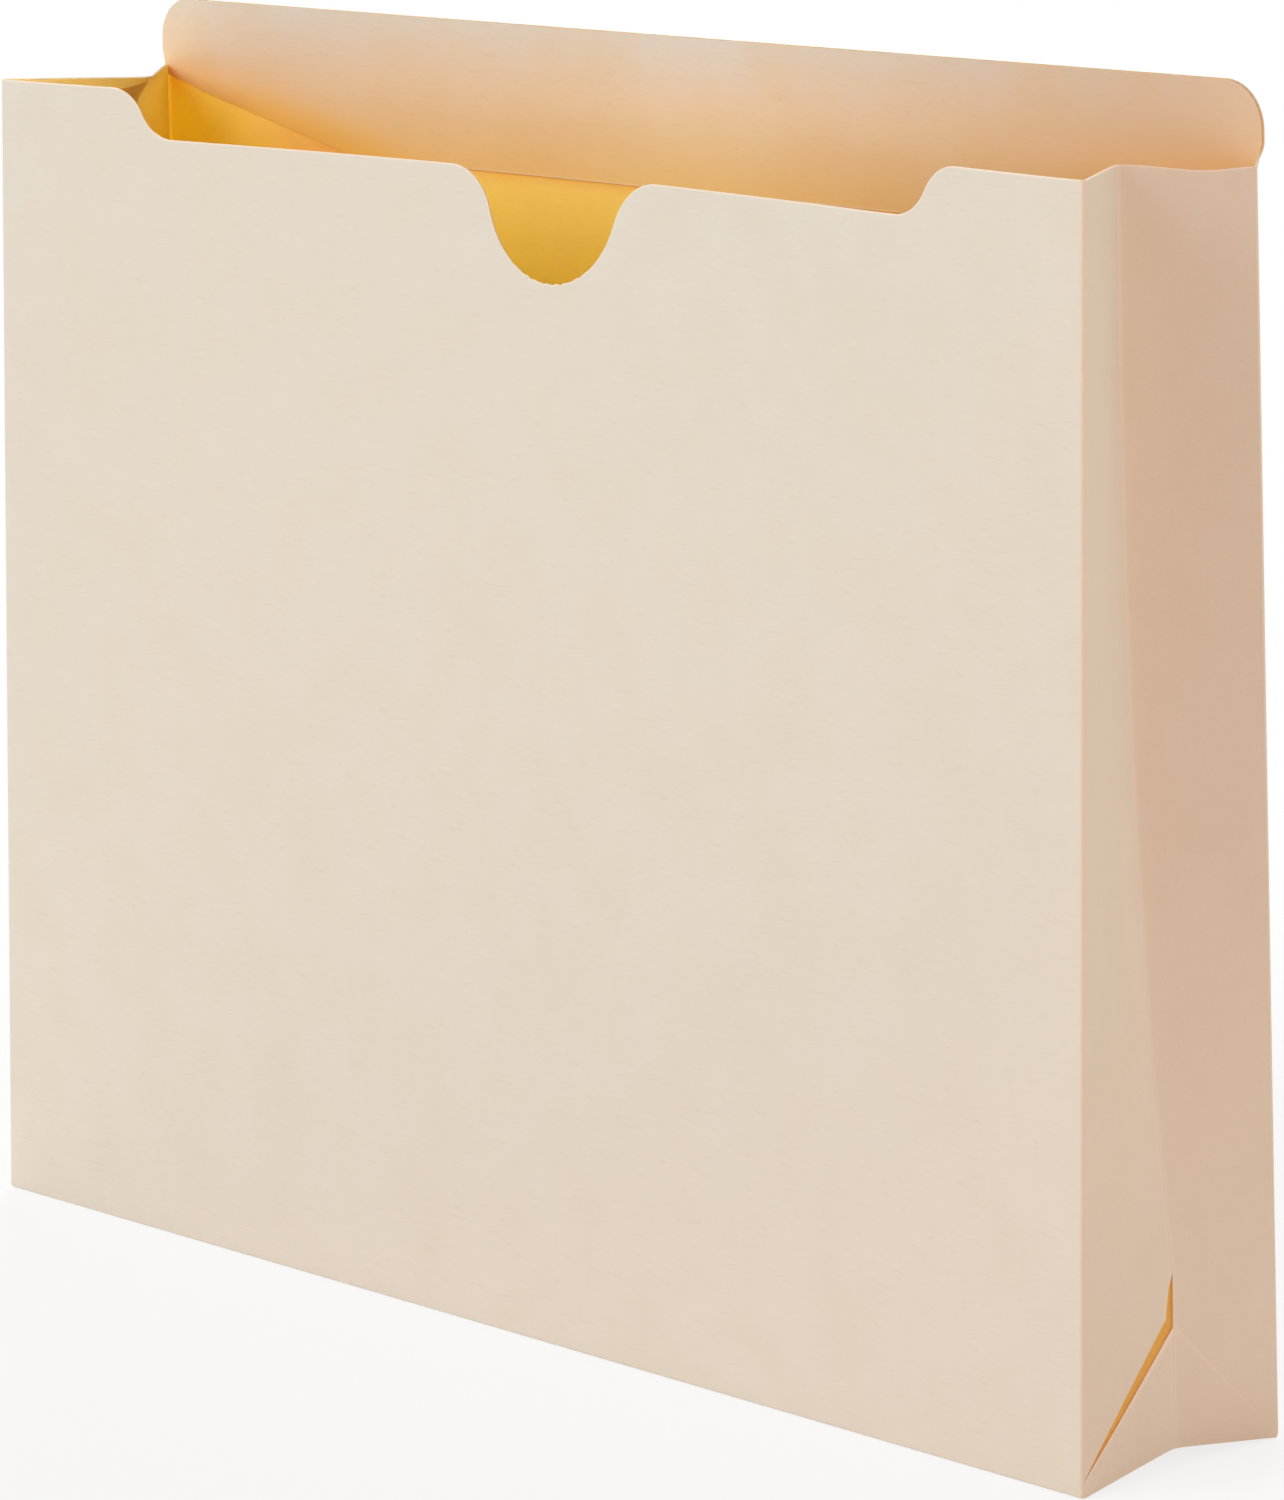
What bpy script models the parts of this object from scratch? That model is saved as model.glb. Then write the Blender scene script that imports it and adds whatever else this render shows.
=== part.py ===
"""An expanding file jacket: one folded sheet of manila stock, open at the top.

Every flat panel between two creases is its own piece. The two side gussets and the bottom fold inwards
on three parallel creases each, so the jacket closes flat. Metres, +Z up, the front faces -Y.
"""

import math

import bpy
from mathutils import Matrix, Vector

# Stock and overall size
STOCK = 0.00028
JACKET_WIDTH = 0.29845
JACKET_HEIGHT = 0.2413
HALF_GUSSET = 0.0254
REST_FOLD = math.radians(12.5)
CREASE_GAP = 0.0003
GLUE_GAP = 0.0002
FOOT_CLEARANCE = 0.0003

# Rear panel and its reinforced tab
TAB_RISE = 0.0136
TAB_OVERHANG = 0.0009
TAB_CORNER_RADIUS = 0.0085
TAB_NECK_RADIUS = 0.0008
TAB_NECK_HEIGHT = 0.0022
PLY_HEIGHT = 0.028
PLY_EDGE_INSET = 0.0006
PLY_SIDE_RELIEF = 0.009

# Cut edge of the front panel
EAR_LENGTH = 0.0375
RECESS_START = 0.043
RECESS_DEPTH = 0.0095
OGEE_RADIUS = 0.0094
THUMB_OFFSET = 0.004
THUMB_DEPTH = 0.0205
THUMB_HALF_MOUTH = 0.0205
THUMB_HALF_FLOOR = 0.0125
THUMB_SHOULDER_RADIUS = 0.012
THUMB_FLOOR_RADIUS = 0.0182

# Side gussets, their glue flaps and the corner webs below them
MITRE_START = 0.0048
SLIT_WIDTH = 0.0008
SLIT_TOP = 0.0335
GUSSET_TOP_DIP = 0.0015
FLAP_WIDTH = 0.016
FLAP_TAPER = 0.005

# Facets of the rounded corners
ARC_STEP = math.radians(12)

MANILA_OUTER = (0.79, 0.71, 0.59, 1.0)
MANILA_INNER = (0.80, 0.62, 0.38, 1.0)

# Worked out from the sizes above
GUSSET_TOP = JACKET_HEIGHT - TAB_RISE
BODY_HALF_WIDTH = JACKET_WIDTH / 2 - TAB_OVERHANG
FACE_OFFSET = CREASE_GAP / 2
LAYER_OFFSET = FACE_OFFSET + STOCK / 2
PANEL_TILT = math.asin(2 * LAYER_OFFSET / HALF_GUSSET)
AXIS_X = BODY_HALF_WIDTH - FACE_OFFSET - STOCK
AXIS_Y = HALF_GUSSET * math.cos(REST_FOLD)
AXIS_Z = FOOT_CLEARANCE + STOCK + FACE_OFFSET
CREASE_INSET = HALF_GUSSET * math.sin(REST_FOLD)
WEB_HEIGHT = AXIS_Z + HALF_GUSSET + CREASE_GAP
UPRIGHT = math.pi / 2


def clear_scene():
    for obj in list(bpy.data.objects):
        bpy.data.objects.remove(obj, do_unlink=True)


def new_collection(name):
    collection = bpy.data.collections.new(name)
    bpy.context.scene.collection.children.link(collection)
    return collection


def paper(name, colour):
    """Uncoated paper stock of one colour."""
    material = bpy.data.materials.new(name)
    material.use_nodes = True
    shader = material.node_tree.nodes["Principled BSDF"]
    shader.inputs["Base Color"].default_value = colour
    shader.inputs["Roughness"].default_value = 0.85
    shader.inputs["Metallic"].default_value = 0.0
    return material


def rounded(corners):
    """Points of a closed outline whose corners (x, y, radius) are rounded with arcs."""
    points = []
    for i, (x, y, radius) in enumerate(corners):
        here = Vector((x, y))
        if not radius:
            points.append(here)
            continue
        back = (Vector(corners[i - 1][:2]) - here).normalized()
        ahead = (Vector(corners[(i + 1) % len(corners)][:2]) - here).normalized()
        half_angle = back.angle(ahead) / 2
        centre = here + (back + ahead).normalized() * radius / math.sin(half_angle)
        first = here + back * radius / math.tan(half_angle) - centre
        last = here + ahead * radius / math.tan(half_angle) - centre
        turn = first.angle_signed(last)
        steps = max(2, math.ceil(abs(turn) / ARC_STEP))
        for k in range(steps + 1):
            points.append(centre + Matrix.Rotation(-turn * k / steps, 2) @ first)
    return points


def fold_axis(name, parent, location=(0, 0, 0), turn=0.0):
    """An empty on a crease: X runs across the panel that hinges there, Z along the crease."""
    empty = bpy.data.objects.new(name, None)
    empty.empty_display_size = HALF_GUSSET / 2
    empty.parent = parent
    empty.location = location
    empty.rotation_euler = (0, 0, turn)
    parts.objects.link(empty)
    return empty


def sheet(name, outline, material, parent, location=(0, 0, 0), rotation=(UPRIGHT, 0, 0)):
    """A flat panel of stock, cut to an outline of 2D points."""
    curve = bpy.data.curves.new(name, "CURVE")
    curve.dimensions = "2D"
    curve.fill_mode = "BOTH"
    curve.extrude = STOCK / 2
    curve.materials.append(material)
    spline = curve.splines.new("POLY")
    spline.points.add(len(outline) - 1)
    for point, (x, y) in zip(spline.points, outline):
        point.co = (x, y, 0, 1)
    spline.use_cyclic_u = True
    panel = bpy.data.objects.new(name, curve)
    panel.parent = parent
    panel.location = location
    panel.rotation_euler = rotation
    parts.objects.link(panel)
    return panel


def rear_panel_outline():
    """Body with the gusset creases at its sides, and a wider tab with round corners above a small neck."""
    neck = GUSSET_TOP + TAB_NECK_HEIGHT
    half_tab = JACKET_WIDTH / 2
    right = [
        (BODY_HALF_WIDTH, 0, 0),
        (BODY_HALF_WIDTH, GUSSET_TOP, TAB_NECK_RADIUS),
        (half_tab, neck, TAB_NECK_RADIUS),
        (half_tab, JACKET_HEIGHT, TAB_CORNER_RADIUS),
    ]
    left = [(-x, y, radius) for x, y, radius in reversed(right)]
    return rounded(right + left)


def tab_ply_outline():
    """The glued ply of the tab: full width above the gussets, clear of them below."""
    half_top = JACKET_WIDTH / 2 - PLY_EDGE_INSET
    half_low = AXIS_X - PLY_SIDE_RELIEF
    shoulder = GUSSET_TOP + TAB_NECK_HEIGHT
    top = JACKET_HEIGHT - PLY_EDGE_INSET
    right = [
        (half_low, JACKET_HEIGHT - PLY_HEIGHT, 0),
        (half_low, GUSSET_TOP, 0),
        (half_top, shoulder, 0),
        (half_top, top, TAB_CORNER_RADIUS - PLY_EDGE_INSET),
    ]
    left = [(-x, y, radius) for x, y, radius in reversed(right)]
    return rounded(right + left)


def front_panel_outline():
    """Two ears at the gussets, a lower edge between them, and a thumb cut in that edge."""
    recess = GUSSET_TOP - RECESS_DEPTH
    thumb_floor = recess - THUMB_DEPTH
    return rounded([
        (-BODY_HALF_WIDTH, 0, 0),
        (BODY_HALF_WIDTH, 0, 0),
        (BODY_HALF_WIDTH, GUSSET_TOP, 0),
        (BODY_HALF_WIDTH - EAR_LENGTH, GUSSET_TOP, OGEE_RADIUS),
        (BODY_HALF_WIDTH - RECESS_START, recess, OGEE_RADIUS),
        (THUMB_OFFSET + THUMB_HALF_MOUTH, recess, THUMB_SHOULDER_RADIUS),
        (THUMB_OFFSET + THUMB_HALF_FLOOR, thumb_floor, THUMB_FLOOR_RADIUS),
        (THUMB_OFFSET - THUMB_HALF_FLOOR, thumb_floor, THUMB_FLOOR_RADIUS),
        (THUMB_OFFSET - THUMB_HALF_MOUTH, recess, THUMB_SHOULDER_RADIUS),
        (RECESS_START - BODY_HALF_WIDTH, recess, OGEE_RADIUS),
        (EAR_LENGTH - BODY_HALF_WIDTH, GUSSET_TOP, OGEE_RADIUS),
        (-BODY_HALF_WIDTH, GUSSET_TOP, 0),
    ])


def rear_gusset_outline():
    """From the rear crease at x = 0 to the centre crease, mitred at the foot above the corner web."""
    near, far = FACE_OFFSET, HALF_GUSSET - FACE_OFFSET
    return [
        (near, MITRE_START),
        (WEB_HEIGHT - MITRE_START, WEB_HEIGHT),
        (far, WEB_HEIGHT),
        (far, GUSSET_TOP),
        (near, GUSSET_TOP - GUSSET_TOP_DIP),
    ]


def front_gusset_outline():
    """From the centre crease at x = 0 to the front crease, with a slit round its foot."""
    near, far = FACE_OFFSET, HALF_GUSSET - FACE_OFFSET
    slit_side = near + SLIT_WIDTH
    foot = WEB_HEIGHT + SLIT_WIDTH
    return [
        (far, MITRE_START + SLIT_WIDTH),
        (far, GUSSET_TOP),
        (near, GUSSET_TOP),
        (near, SLIT_TOP),
        (slit_side, SLIT_TOP - SLIT_WIDTH),
        (slit_side, foot),
        (HALF_GUSSET - WEB_HEIGHT + MITRE_START, foot),
    ]


def glue_flap_outline():
    """Runs on from the gusset's rear half past the centre crease, glued inside the front half."""
    near, far = FACE_OFFSET, FLAP_WIDTH
    return [
        (near, SLIT_TOP),
        (far, SLIT_TOP + FLAP_TAPER),
        (far, GUSSET_TOP - FLAP_TAPER),
        (near, GUSSET_TOP - FLAP_TAPER / 2),
    ]


def bottom_outline():
    near, far = FACE_OFFSET, HALF_GUSSET - FACE_OFFSET
    half_length = AXIS_X - STOCK / 2 - CREASE_GAP
    return [(near, -half_length), (far, -half_length), (far, half_length), (near, half_length)]


def wall(name, corner, outward):
    """The three creases of one folding wall, rear to front, whose closed faces meet with a small gap."""
    across = Vector((0, -1, 0))
    frame = Matrix((across, outward, across.cross(outward))).transposed().to_4x4()
    frame.translation = corner
    base = fold_axis(name + "_base", jacket)
    base.matrix_local = frame
    rear = fold_axis(name + "_rear_fold", base, turn=-REST_FOLD)
    centre = fold_axis(name + "_center_fold", rear, (HALF_GUSSET, 0, 0), 2 * REST_FOLD)
    front = fold_axis(name + "_front_fold", centre, (HALF_GUSSET, 0, 0), -REST_FOLD)
    return rear, centre, front


def half_walls(rear_name, front_name, rear_outline, front_outline, rear, centre):
    """Two halves of a folding wall: outside the creases' line at a corner, inside it at the centre."""
    sheet(rear_name, rear_outline, outer_stock, rear, (0, LAYER_OFFSET, 0), (UPRIGHT, 0, -PANEL_TILT))
    sheet(front_name, front_outline, outer_stock, centre, (0, -LAYER_OFFSET, 0), (UPRIGHT, 0, PANEL_TILT))


def side_gusset(side, outward):
    """One side's folding wall and glue flap. Returns its front crease."""
    rear, centre, front = wall(side, (AXIS_X * outward.x, AXIS_Y, 0), outward)
    rise = outward.x

    def standing(outline):
        return [(x, rise * z) for x, z in outline]

    half_walls(
        side + "_rear_gusset",
        side + "_front_gusset",
        standing(rear_gusset_outline()),
        standing(front_gusset_outline()),
        rear,
        centre,
    )
    flap_offset = -LAYER_OFFSET - STOCK - GLUE_GAP
    sheet(
        side + "_glue_flap",
        standing(glue_flap_outline()),
        inner_stock,
        centre,
        (0, flap_offset, 0),
        (UPRIGHT, 0, PANEL_TILT),
    )
    return front


def corner_web(name, outward, facing, slit):
    """Half of the triangle that closes a lower corner, cut to the gusset's mitre less the slit."""
    corner = Vector((AXIS_X * outward.x, AXIS_Y * facing, AXIS_Z))
    base_middle = Vector((corner.x, 0, AXIS_Z + CREASE_INSET))
    apex = Vector((corner.x - CREASE_INSET * outward.x, 0, WEB_HEIGHT))
    along = (base_middle - corner).normalized()
    reach = apex - corner
    up = (reach - along * reach.dot(along)).normalized()
    frame = Matrix((along, up, along.cross(up))).transposed()
    depth_and_height = Matrix(((-facing * along.y, -facing * up.y), (along.z, up.z)))

    def on_web(depth, height):
        return depth_and_height.inverted() @ Vector((depth, height - AXIS_Z))

    top = WEB_HEIGHT - CREASE_GAP - slit
    foot = AXIS_Z + CREASE_GAP
    knee = (WEB_HEIGHT - MITRE_START) * math.cos(REST_FOLD)
    middle = AXIS_Y - CREASE_GAP
    outline = [
        on_web(CREASE_GAP, foot),
        on_web(middle, foot + CREASE_INSET),
        on_web(middle, top),
        on_web(knee, top),
        on_web(CREASE_GAP, MITRE_START - CREASE_GAP - slit),
    ]
    sheet(name, outline, outer_stock, jacket, corner, frame.to_euler())


clear_scene()
parts = new_collection("file_jacket")
outer_stock = paper("manila_outer", MANILA_OUTER)
inner_stock = paper("manila_inner", MANILA_INNER)

jacket = fold_axis("jacket", None)
panel_depth = AXIS_Y + LAYER_OFFSET
sheet("rear_panel", rear_panel_outline(), outer_stock, jacket, (0, panel_depth, 0))
sheet("tab_ply", tab_ply_outline(), inner_stock, jacket, (0, panel_depth - STOCK - GLUE_GAP, 0))

right_front_crease = side_gusset("right", Vector((1, 0, 0)))
side_gusset("left", Vector((-1, 0, 0)))

bottom_rear, bottom_centre, _ = wall("bottom", (0, AXIS_Y, AXIS_Z), Vector((0, 0, -1)))
half_walls(
    "bottom_rear",
    "bottom_front",
    bottom_outline(),
    bottom_outline(),
    bottom_rear,
    bottom_centre,
)

sheet(
    "front_panel",
    front_panel_outline(),
    outer_stock,
    right_front_crease,
    (LAYER_OFFSET, -AXIS_X, 0),
    (UPRIGHT, 0, UPRIGHT),
)

for side, outward in (("right", Vector((1, 0, 0))), ("left", Vector((-1, 0, 0)))):
    corner_web(side + "_rear_web", outward, 1, 0)
    corner_web(side + "_front_web", outward, -1, SLIT_WIDTH)
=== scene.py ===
"""Looks of an expanding file jacket of manila board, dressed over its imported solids.

Each sheet of the jacket is one thin piece of board. It starts as a flat grid, is laid over the
surface that the sheet takes when the jacket stands open, gets its thickness, and then rides on
the solid that it stands for. Lengths are in metres, with +Z up and the front towards -Y.
"""

import logging
import math
from dataclasses import dataclass, replace
from enum import Enum
from typing import Callable, Sequence

import bpy
from mathutils import Euler, Matrix, Vector


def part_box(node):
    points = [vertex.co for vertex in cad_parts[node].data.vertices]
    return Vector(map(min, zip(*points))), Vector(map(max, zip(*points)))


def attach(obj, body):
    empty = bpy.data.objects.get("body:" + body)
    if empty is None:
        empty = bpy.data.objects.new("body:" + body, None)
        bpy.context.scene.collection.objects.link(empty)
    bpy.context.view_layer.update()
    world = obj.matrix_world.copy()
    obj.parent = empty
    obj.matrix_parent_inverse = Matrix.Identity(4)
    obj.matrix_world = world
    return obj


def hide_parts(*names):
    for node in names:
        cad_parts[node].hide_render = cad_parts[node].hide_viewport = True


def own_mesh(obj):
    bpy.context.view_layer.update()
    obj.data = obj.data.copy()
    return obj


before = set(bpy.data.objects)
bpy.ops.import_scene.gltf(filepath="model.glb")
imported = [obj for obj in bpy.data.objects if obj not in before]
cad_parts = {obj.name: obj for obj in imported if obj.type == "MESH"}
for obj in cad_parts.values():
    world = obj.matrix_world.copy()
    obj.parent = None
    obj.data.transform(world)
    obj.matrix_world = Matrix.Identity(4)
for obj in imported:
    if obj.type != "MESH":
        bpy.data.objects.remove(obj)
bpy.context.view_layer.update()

MM = 0.001
# Heights at which the board changes tone: the ply's foot, the mouth and the tab's crown.
PLY_FOOT = 0.212
MOUTH = 0.2277
CROWN = 0.2413
# Width of the last row of faces along a cut edge, which takes the edge's paler tone: partly bare
# pulp, partly a painted highlight.
EDGE_BAND = 0.00045
# Rows of faces round a side fold, and round the fold at the foot.
SIDE_FOLD_STEPS = 6
FOOT_FOLD_STEPS = 5
# Share of a sheet's width at which it starts to round into its middle crease, and at which it
# ends, just short of the crease.
CREASE_START = 0.86
CREASE_END = 0.999
# Edges that bend by more than this stay sharp.
SHARP_ANGLE = math.radians(40)
# What a sheet asks at each of its stations: a place, or the share of a tone.
Lay = Callable[[float, float], Vector]
Tone = Callable[[float, float], float]

log = logging.getLogger("file_jacket")


class Face(Enum):
    """The two large panels, by the sign of Y on which they stand."""

    FRONT = -1
    REAR = 1


class Side(Enum):
    """The two gusseted sides, by the sign of X on which they stand."""

    LEFT = -1
    RIGHT = 1


class Ray(Enum):
    """Kinds of ray that see the plain white surroundings instead of the lighting."""

    CAMERA = "Is Camera Ray"
    GLOSSY = "Is Glossy Ray"
    TRANSMISSION = "Is Transmission Ray"


def linear(hex_code: str) -> tuple[float, float, float, float]:
    """Turn an sRGB hex colour into linear light.

    Args:
        hex_code: Colour such as "E6DAC6".

    Returns:
        Red, green, blue and an alpha of 1, in linear light.
    """
    values = [int(hex_code[i:i + 2], 16) / 255 for i in (0, 2, 4)]
    red, green, blue = [v / 12.92 if v <= 0.04045 else ((v + 0.055) / 1.055) ** 2.4 for v in values]
    return red, green, blue, 1.0


def per_metre(size_mm: float) -> float:
    """Give the scale of a pattern whose features are this many millimetres wide."""
    return 1000.0 / size_mm


def smooth(low: float, high: float, value: float) -> float:
    """Ease from 0 at low to 1 at high."""
    share = min(1.0, max(0.0, (value - low) / (high - low)))
    return share * share * (3 - 2 * share)


def spread(start: float, end: float, steps: int) -> list[float]:
    """Give evenly spaced stations from start to end, both included."""
    return [start + (end - start) * i / steps for i in range(steps + 1)]


def with_side_folds(flat: list[float]) -> list[float]:
    """Add the stations round both side folds to those across a panel's flat."""
    curl = spread(1.0, 2.0, SIDE_FOLD_STEPS)[1:]
    return [-s for s in reversed(curl)] + flat + curl


def up_to_crease(start: float, wide_steps: int, close_steps: int) -> list[float]:
    """Give stations from a fold to a middle crease, closer where the board rounds into it.

    Args:
        start: First station.
        wide_steps: Steps over the flat.
        close_steps: Steps over the rounding.

    Returns:
        Stations as shares of the sheet's width.
    """
    flat = spread(start, CREASE_START, wide_steps)
    return flat + spread(CREASE_START, CREASE_END, close_steps)[1:]


def nowhere(s: float, t: float) -> float:
    """Give none of a tone, at any station of a sheet."""
    return 0.0


def add_node(
    tree: bpy.types.NodeTree,
    kind: str,
    settings: dict | None = None,
    inputs: dict | None = None,
) -> bpy.types.Node:
    """Add one node with its settings and its inputs.

    Args:
        tree: Node tree that takes the node.
        kind: Blender's name for the node.
        settings: Values of the node's own attributes, by name.
        inputs: Constant values, or output sockets to link from, by input name or index.

    Returns:
        The new node.
    """
    node = tree.nodes.new(kind)
    for name, value in (settings or {}).items():
        setattr(node, name, value)
    for key, value in (inputs or {}).items():
        if isinstance(value, bpy.types.NodeSocket):
            tree.links.new(value, node.inputs[key])
        else:
            node.inputs[key].default_value = value
    return node


def rounded_line(
    corners: Sequence[tuple[float, float, float]],
    longest: float,
) -> list[tuple[float, float]]:
    """Round the inner corners of an open line that runs in +X.

    Args:
        corners: X, Z and rounding radius of each corner. The two ends stay sharp.
        longest: Longest straight step between two points.

    Returns:
        Points along the rounded line.
    """
    arc_step = math.radians(5)
    points = [Vector(corners[0][:2])]
    for before, here, after in zip(corners, corners[1:], corners[2:]):
        corner = Vector(here[:2])
        come = (Vector(before[:2]) - corner).normalized()
        leave = (Vector(after[:2]) - corner).normalized()
        bend = math.pi - come.angle(leave)
        reach = here[2] * math.tan(bend / 2)
        middle = corner + (come + leave).normalized() * here[2] / math.cos(bend / 2)
        start = corner + come * reach - middle
        turn = math.copysign(bend, start.cross(corner + leave * reach - middle))
        steps = max(2, math.ceil(bend / arc_step))
        for i in range(steps + 1):
            angle = turn * i / steps
            across = Vector((-start.y, start.x))
            points.append(middle + start * math.cos(angle) + across * math.sin(angle))
    points.append(Vector(corners[-1][:2]))
    line = [points[0]]
    for point in points[1:]:
        steps = max(1, math.ceil((point - line[-1]).length / longest))
        last = line[-1]
        line.extend(last.lerp(point, i / steps) for i in range(1, steps + 1))
    return [(p.x, p.y) for p in line]


@dataclass(frozen=True)
class Manila:
    """Manila board: buff kraft pulp, calendered to a dull satin.

    It gives the eye a cream ground with soft clouds where the pulp lies thicker, short fibres a
    shade darker and lighter than the ground, a paler line along each cut edge, partly bare pulp and
    partly a painted highlight, and a paler line along each fold, partly rubbed wear and partly a
    painted highlight. On the inner face a painted glow, graded by height, is strongest in the
    pocket's corners, and the face also glows warm with the light that comes through the board.
    The fibres are drawn coarser than the real ones, to show.
    """

    name: str
    # Heights in metres, and the board's colour at each.
    ground: tuple[tuple[float, str], ...]
    # Tone of cut edges: paler bare pulp, with a painted highlight.
    edge: str
    # Tone along folds: rubbed wear with a painted highlight; on the tab's ply, a darker painted
    # shade.
    fold: str
    dark_fibre: str
    pale_fibre: str
    cloud: str
    # Colour of the glow painted in the pocket's corners, or nothing.
    painted_glow: str = ""
    # Share of the light that goes into the board, and how far red, green and blue go.
    light_through: float = 0.0
    light_depth_mm: tuple[float, float, float] = (1.60, 0.85, 0.20)
    cloud_mm: float = 14.0
    fibre_mm: tuple[float, float] = (3.6, 0.55)
    tooth_mm: float = 0.7
    tooth_depth: float = 0.00004
    relief: float = 0.5
    fibre_relief: float = 0.6
    # Of each layer: the noise at which it starts and is full, and its greatest share.
    cloud_cover: tuple[float, float, float] = (0.40, 0.72, 0.20)
    dark_cover: tuple[float, float, float] = (0.60, 0.74, 0.16)
    pale_cover: tuple[float, float, float] = (0.40, 0.26, 0.14)
    # Noise of the fibres over which the roughness changes.
    fibre_range: tuple[float, float] = (0.3, 0.7)
    roughness: tuple[float, float] = (0.56, 0.70)
    specular: float = 0.3

    def material(self) -> bpy.types.Material:
        """Make the material.

        Returns:
            A node material that reads Object coordinates and the sheet's own attributes.
        """
        made = bpy.data.materials.new(self.name)
        made.use_nodes = True
        tree = made.node_tree
        tree.nodes.clear()
        place = add_node(tree, "ShaderNodeTexCoord").outputs["Object"]
        length, width = (per_metre(size) for size in self.fibre_mm)
        stretch = add_node(tree, "ShaderNodeMapping", inputs={
            "Vector": place, "Scale": (length, width, width)}).outputs["Vector"]
        fibres = add_node(tree, "ShaderNodeTexNoise", inputs={
            "Vector": stretch, "Scale": 1.0, "Detail": 2.0, "Distortion": 0.6}).outputs["Fac"]
        clouds = add_node(tree, "ShaderNodeTexNoise", inputs={
            "Vector": place, "Scale": per_metre(self.cloud_mm), "Detail": 4.0}).outputs["Fac"]
        tooth = add_node(tree, "ShaderNodeTexNoise", inputs={
            "Vector": place, "Scale": per_metre(self.tooth_mm), "Detail": 3.0}).outputs["Fac"]

        # A colour Mix node takes its colours at 6 and 7, and gives the result at 2.
        colour = self.ground_colour(tree, place)
        layers = (
            (clouds, self.cloud_cover, self.cloud),
            (fibres, self.dark_cover, self.dark_fibre),
            (fibres, self.pale_cover, self.pale_fibre),
        )
        for pattern, (start, full, most), tint in layers:
            share = add_node(tree, "ShaderNodeMapRange", inputs={
                "Value": pattern, "From Min": start, "From Max": full,
                "To Max": most}).outputs["Result"]
            colour = add_node(tree, "ShaderNodeMix", {"data_type": "RGBA"}, {
                0: share, 6: colour, 7: linear(tint)}).outputs[2]
        # Paint the glow in the pocket's corners, the folds' wear with highlight or the ply's shade,
        # and the cut edges' pale pulp with highlight.
        tints = (("painted_glow", self.painted_glow), ("fold", self.fold), ("cut_edge", self.edge))
        for attribute, tint in (pair for pair in tints if pair[1]):
            worn = add_node(tree, "ShaderNodeAttribute", {"attribute_name": attribute}).outputs["Fac"]
            colour = add_node(tree, "ShaderNodeMix", {"data_type": "RGBA"}, {
                0: worn, 6: colour, 7: linear(tint)}).outputs[2]

        low, high = self.fibre_range
        rough = add_node(tree, "ShaderNodeMapRange", inputs={
            "Value": fibres, "From Min": low, "From Max": high,
            "To Min": self.roughness[0], "To Max": self.roughness[1]}).outputs["Result"]
        grain = add_node(tree, "ShaderNodeMath", {"operation": "MULTIPLY_ADD"}, {
            0: fibres, 1: self.fibre_relief, 2: tooth}).outputs["Value"]
        relief = add_node(tree, "ShaderNodeBump", inputs={
            "Height": grain, "Strength": self.relief,
            "Distance": self.tooth_depth}).outputs["Normal"]
        shader = add_node(tree, "ShaderNodeBsdfPrincipled", inputs={
            "Base Color": colour, "Roughness": rough, "Normal": relief,
            "Specular IOR Level": self.specular, "Subsurface Weight": self.light_through,
            "Subsurface Radius": self.light_depth_mm, "Subsurface Scale": MM})
        add_node(tree, "ShaderNodeOutputMaterial", inputs={"Surface": shader.outputs["BSDF"]})
        return made

    def ground_colour(
        self,
        tree: bpy.types.NodeTree,
        place: bpy.types.NodeSocket,
    ) -> bpy.types.NodeSocket:
        """Add the ground colour, graded by height.

        Args:
            tree: Node tree of the material.
            place: Socket with Object coordinates.

        Returns:
            The colour socket.
        """
        low, high = self.ground[0][0], self.ground[-1][0]
        height = add_node(tree, "ShaderNodeSeparateXYZ", inputs={0: place}).outputs["Z"]
        share = add_node(tree, "ShaderNodeMapRange", inputs={
            "Value": height, "From Min": low, "From Max": high}).outputs["Result"]
        ramp = add_node(tree, "ShaderNodeValToRGB", inputs={"Fac": share})
        stops = ramp.color_ramp.elements
        while len(stops) < len(self.ground):
            stops.new(0.5)
        for stop, (level, tint) in zip(stops, self.ground):
            stop.position = (level - low) / (high - low)
            stop.color = linear(tint)
        return ramp.outputs["Color"]


# The outer face: cream all over, painted a shade paler towards the foot, where less light falls.
OUTSIDE = Manila(
    name="manila_outside",
    ground=((0.0, "EADDCC"), (CROWN, "E6DCCB")),
    edge="FBEBD6", fold="F2E6D4", dark_fibre="D3BE9C", pale_fibre="F1E8D8", cloud="E0D0B6",
)
# The inner face: a painted glow graded by height, strong yellow down in the pocket where light
# bounces and comes through the board, pale and pinkish towards the crown.
INSIDE = Manila(
    name="manila_inside",
    ground=((0.0, "FCC63C"), (0.170, "FCCE46"), (PLY_FOOT, "FBD06C"), (MOUTH, "FFE0C0"),
            (CROWN, "FADCC8")),
    edge="FBE6C8", fold="FBCF70", dark_fibre="DBA864", pale_fibre="F9DAA8", cloud="F2C070",
    painted_glow="FFD45E", light_through=0.9,
)
# The rear panel's inner face: a painted glow, strong yellow low in the pocket, and a painted shade,
# browner from the foot of the tab's ply up, where the ply shades it.
REAR_INSIDE = replace(
    INSIDE, name="manila_rear_inside",
    ground=((0.0, "FCC63C"), (0.170, "FFDE5E"), (0.210, "F4CA6C"), (0.2135, "E0AC5E"),
            (MOUTH, "E0B07C"), (CROWN, "D2B592")),
)
# The ply behind the tab: doubled board, which lets no light through. Its grading by height and its
# corner tone are painted glow, and its fold tone is a darker brown painted as shade at its right end.
TAB_PLY = replace(
    INSIDE, name="manila_tab_ply", light_through=0.0, fold="D9A873", painted_glow="FFC25A",
    ground=((PLY_FOOT, "FFD07E"), (MOUTH, "FAD8B0"), (CROWN, "E9DCCA")),
)
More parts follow.
